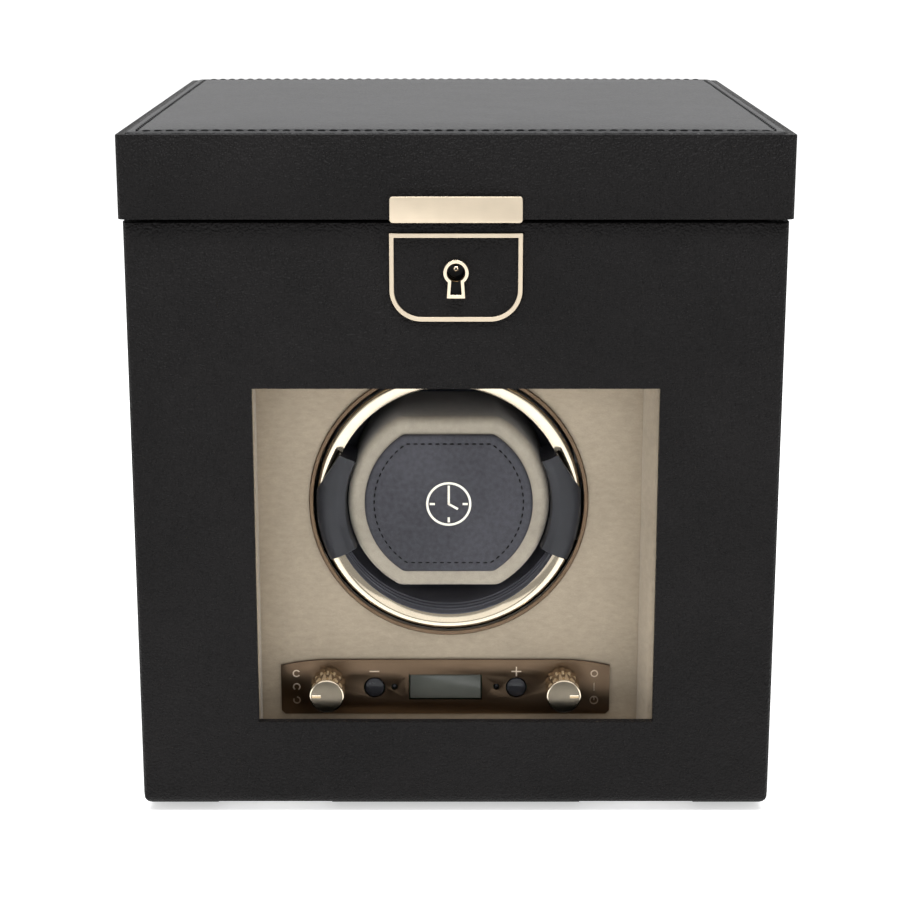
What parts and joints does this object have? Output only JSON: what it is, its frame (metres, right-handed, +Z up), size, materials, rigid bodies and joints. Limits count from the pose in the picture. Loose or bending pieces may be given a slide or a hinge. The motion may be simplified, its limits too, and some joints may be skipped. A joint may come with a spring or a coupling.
{
  "type": "watch winder box",
  "caption": "Box with a hinged padded lid over a storage tray, a glazed front that drops down, and a motor-driven winding drum that holds a padded cuff.",
  "frame": {"origin": "on the floor, under the middle of the box's outline", "axes": "+Z up, the glazed front faces -Y, +X to the right seen from the front"},
  "size_m": [0.2024, 0.2064, 0.2181],
  "materials": {
    "leather": "grained, satin",
    "panel_leather": "grained, padded",
    "patch_leather": "smooth, stitched",
    "suede": "napped",
    "felt": "matt",
    "gold": "polished",
    "bronze": "polished, dark",
    "bearing_brass": "turned",
    "steel": "brushed",
    "glass": "clear",
    "dark_plastic": "satin",
    "button_plastic": "gloss",
    "display": "gloss",
    "board": "lacquered"
  },
  "bodies": {
    "case": {"base_pad": "felt", "case_shell": "leather", "dc_inlet": "dark_plastic", "bay_surround": "suede", "fascia": "suede", "fascia_rim": "bronze", "control_plate": "bronze", "display_window": "display", "led_lens_left": "button_plastic", "led_lens_right": "button_plastic", "control_board": "board", "switch_direction": "dark_plastic", "switch_power": "dark_plastic", "module_housing": "dark_plastic", "motor_bracket": "steel", "drum_bearing": "bearing_brass", "motor": "steel", "storage_tray": "suede", "watch_pillow_left": "suede", "watch_pillow_centre": "suede", "watch_pillow_right": "suede", "lid_hinge_case_leaf": "steel", "lid_hinge_pin": "steel", "door_hinge_left_case_leaf": "steel", "door_hinge_left_pin": "steel", "door_hinge_right_case_leaf": "steel", "door_hinge_right_pin": "steel"},
    "lid": {"lid_shell": "leather", "lid_top_panel": "panel_leather", "lid_lining": "suede", "catch_plate": "gold", "lid_strike": "steel", "lid_hinge_lid_leaf": "steel"},
    "door": {"door_panel": "leather", "door_lining": "suede", "door_glass": "glass", "glass_retainer": "dark_plastic", "lock_frame": "gold", "lock_inlay": "leather", "keyhole_escutcheon": "gold", "lock_case": "steel", "door_hinge_left_door_leaf": "steel", "door_hinge_right_door_leaf": "steel"},
    "lock_cylinder": {"lock_cylinder": "bearing_brass"},
    "lock_bolt": {"lock_bolt": "steel"},
    "drum": {"drum_cup": "dark_plastic", "drum_ring": "gold", "clip_left": "dark_plastic", "clip_right": "dark_plastic", "drum_shaft": "steel", "drum_gear": "dark_plastic"},
    "motor_pinion": {"motor_pinion": "bearing_brass"},
    "cuff": {"cuff_body": "suede", "cuff_patch": "patch_leather"},
    "knob_direction": {"knob_direction": "gold"},
    "knob_power": {"knob_power": "gold"},
    "button_minus": {"button_minus": "button_plastic"},
    "button_plus": {"button_plus": "button_plastic"}
  },
  "joints": [
    {"name": "lid_hinge", "type": "hinge", "parent": "case", "child": "lid", "pos_m": [0, 0.10125, 0.19065], "axis": [-1, 0, 0], "range_deg": [0, 100]},
    {"name": "door_hinge", "type": "hinge", "parent": "case", "child": "door", "pos_m": [0, -0.09655, 0.0064], "axis": [1, 0, 0], "range_deg": [0, 90]},
    {"name": "lock_turn", "type": "hinge", "parent": "door", "child": "lock_cylinder", "pos_m": [0, -0.10105, 0.1751], "axis": [0, 1, 0], "range_deg": [0, 90]},
    {"name": "bolt_slide", "type": "slide", "parent": "door", "child": "lock_bolt", "axis": [0, 0, 1], "range_m": [0, 0.004]},
    {"name": "drum_spin", "type": "hinge", "parent": "case", "child": "drum", "pos_m": [-0.0022, -0.07905, 0.0971], "axis": [0, -1, 0], "continuous": true},
    {"name": "pinion_spin", "type": "hinge", "parent": "case", "child": "motor_pinion", "pos_m": [0.0218, -0.02855, 0.0971], "axis": [0, -1, 0], "continuous": true},
    {"name": "cuff_pull", "type": "slide", "parent": "drum", "child": "cuff", "axis": [0, -1, 0], "range_m": [0, 0.012]},
    {"name": "direction_turn", "type": "hinge", "parent": "case", "child": "knob_direction", "pos_m": [-0.0413, -0.08045, 0.0363], "axis": [0, -1, 0], "range_deg": [-45, 45]},
    {"name": "power_turn", "type": "hinge", "parent": "case", "child": "knob_power", "pos_m": [0.0347, -0.08045, 0.0363], "axis": [0, -1, 0], "range_deg": [-45, 45]},
    {"name": "minus_press", "type": "slide", "parent": "case", "child": "button_minus", "axis": [0, 1, 0], "range_m": [0, 0.001], "stiffness_N_per_m": 150},
    {"name": "plus_press", "type": "slide", "parent": "case", "child": "button_plus", "axis": [0, 1, 0], "range_m": [0, 0.001], "stiffness_N_per_m": 150}
  ],
  "couplings": [
    {"joint": "pinion_spin", "follows": "drum_spin", "ratio": -4},
    {"joint": "lock_turn", "follows": "bolt_slide", "rad_per_m": 392.69}
  ]
}
